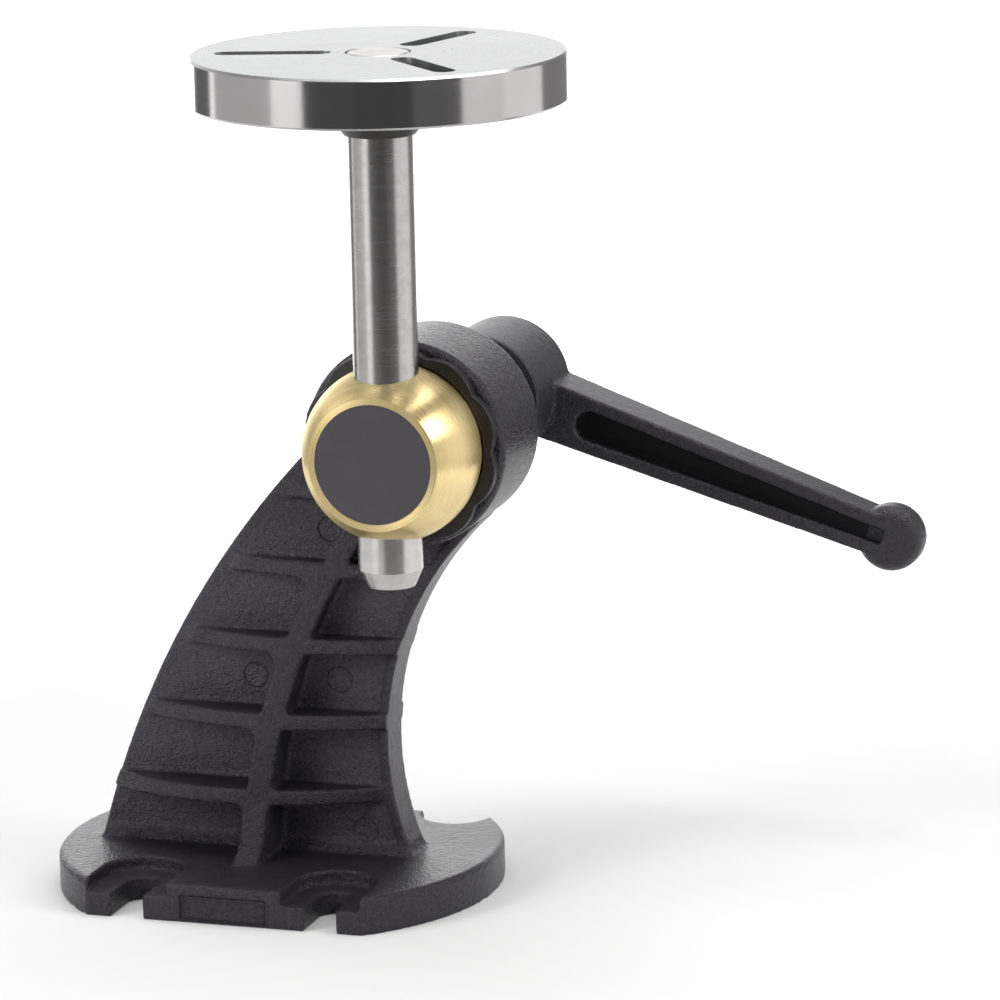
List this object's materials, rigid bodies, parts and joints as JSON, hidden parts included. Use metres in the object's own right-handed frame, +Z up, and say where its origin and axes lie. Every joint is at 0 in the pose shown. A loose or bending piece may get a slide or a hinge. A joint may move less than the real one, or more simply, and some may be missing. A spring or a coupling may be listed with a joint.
{
  "type": "carving vise",
  "caption": "Bench carving vise: ribbed cast stand, clamped brass ball, sliding steel post with a slotted round faceplate, and a lifting clamp lever.",
  "frame": {"origin": "centre of the round base plate, on the bench surface", "axes": "+Z up, -Y towards the ball and its disc (the front), +X to the right seen from the front, the way the arm leans and the lever points"},
  "size_m": [0.263, 0.1772, 0.2715],
  "materials": {
    "cast_black": "textured satin black paint on a casting",
    "ring_black": "matte black",
    "steel": "plain turned steel",
    "post_steel": "drawn bar, fine lines along its length",
    "plate_steel": "turned, bright",
    "dark_steel": "blackened",
    "brass": "satin turned brass",
    "disc_dark": "satin dark grey, bare",
    "lever_black": "fine grained satin black"
  },
  "bodies": {
    "stand": {"base_casting": "cast_black", "socket_ring": "ring_black", "thrust_washer": "steel"},
    "ball_unit": {"ball": "brass", "label_disc": "disc_dark", "draw_bolt": "steel"},
    "bush": {"post_bush": "brass"},
    "post_unit": {"post": "post_steel", "faceplate": "plate_steel", "plate_lock_ring": "dark_steel"},
    "nut_unit": {"clamp_nut": "dark_steel", "retaining_screw": "dark_steel", "index_spring": "steel"},
    "lever_unit": {"lever": "lever_black"}
  },
  "joints": [
    {"name": "ball_turn", "type": "hinge", "parent": "stand", "child": "ball_unit", "pos_m": [0.051, -0.03, 0.1475], "axis": [0, 1, 0], "range_deg": [-60, 120]},
    {"name": "post_spin", "type": "hinge", "parent": "ball_unit", "child": "bush", "pos_m": [0.051, -0.0335, 0.1475], "axis": [0, 0, 1], "continuous": true},
    {"name": "post_slide", "type": "slide", "parent": "bush", "child": "post_unit", "axis": [0, 0, 1], "range_m": [-0.065, 0.012]},
    {"name": "lever_turn", "type": "hinge", "parent": "stand", "child": "nut_unit", "pos_m": [0.051, 0.05, 0.1475], "axis": [0, 1, 0], "range_deg": [-70, 40]},
    {"name": "lever_lift", "type": "slide", "parent": "nut_unit", "child": "lever_unit", "axis": [0, 1, 0], "range_m": [0, 0.0042], "stiffness_N_per_m": 1500, "springref_m": -0.002, "deforming": ["index_spring"]}
  ]
}
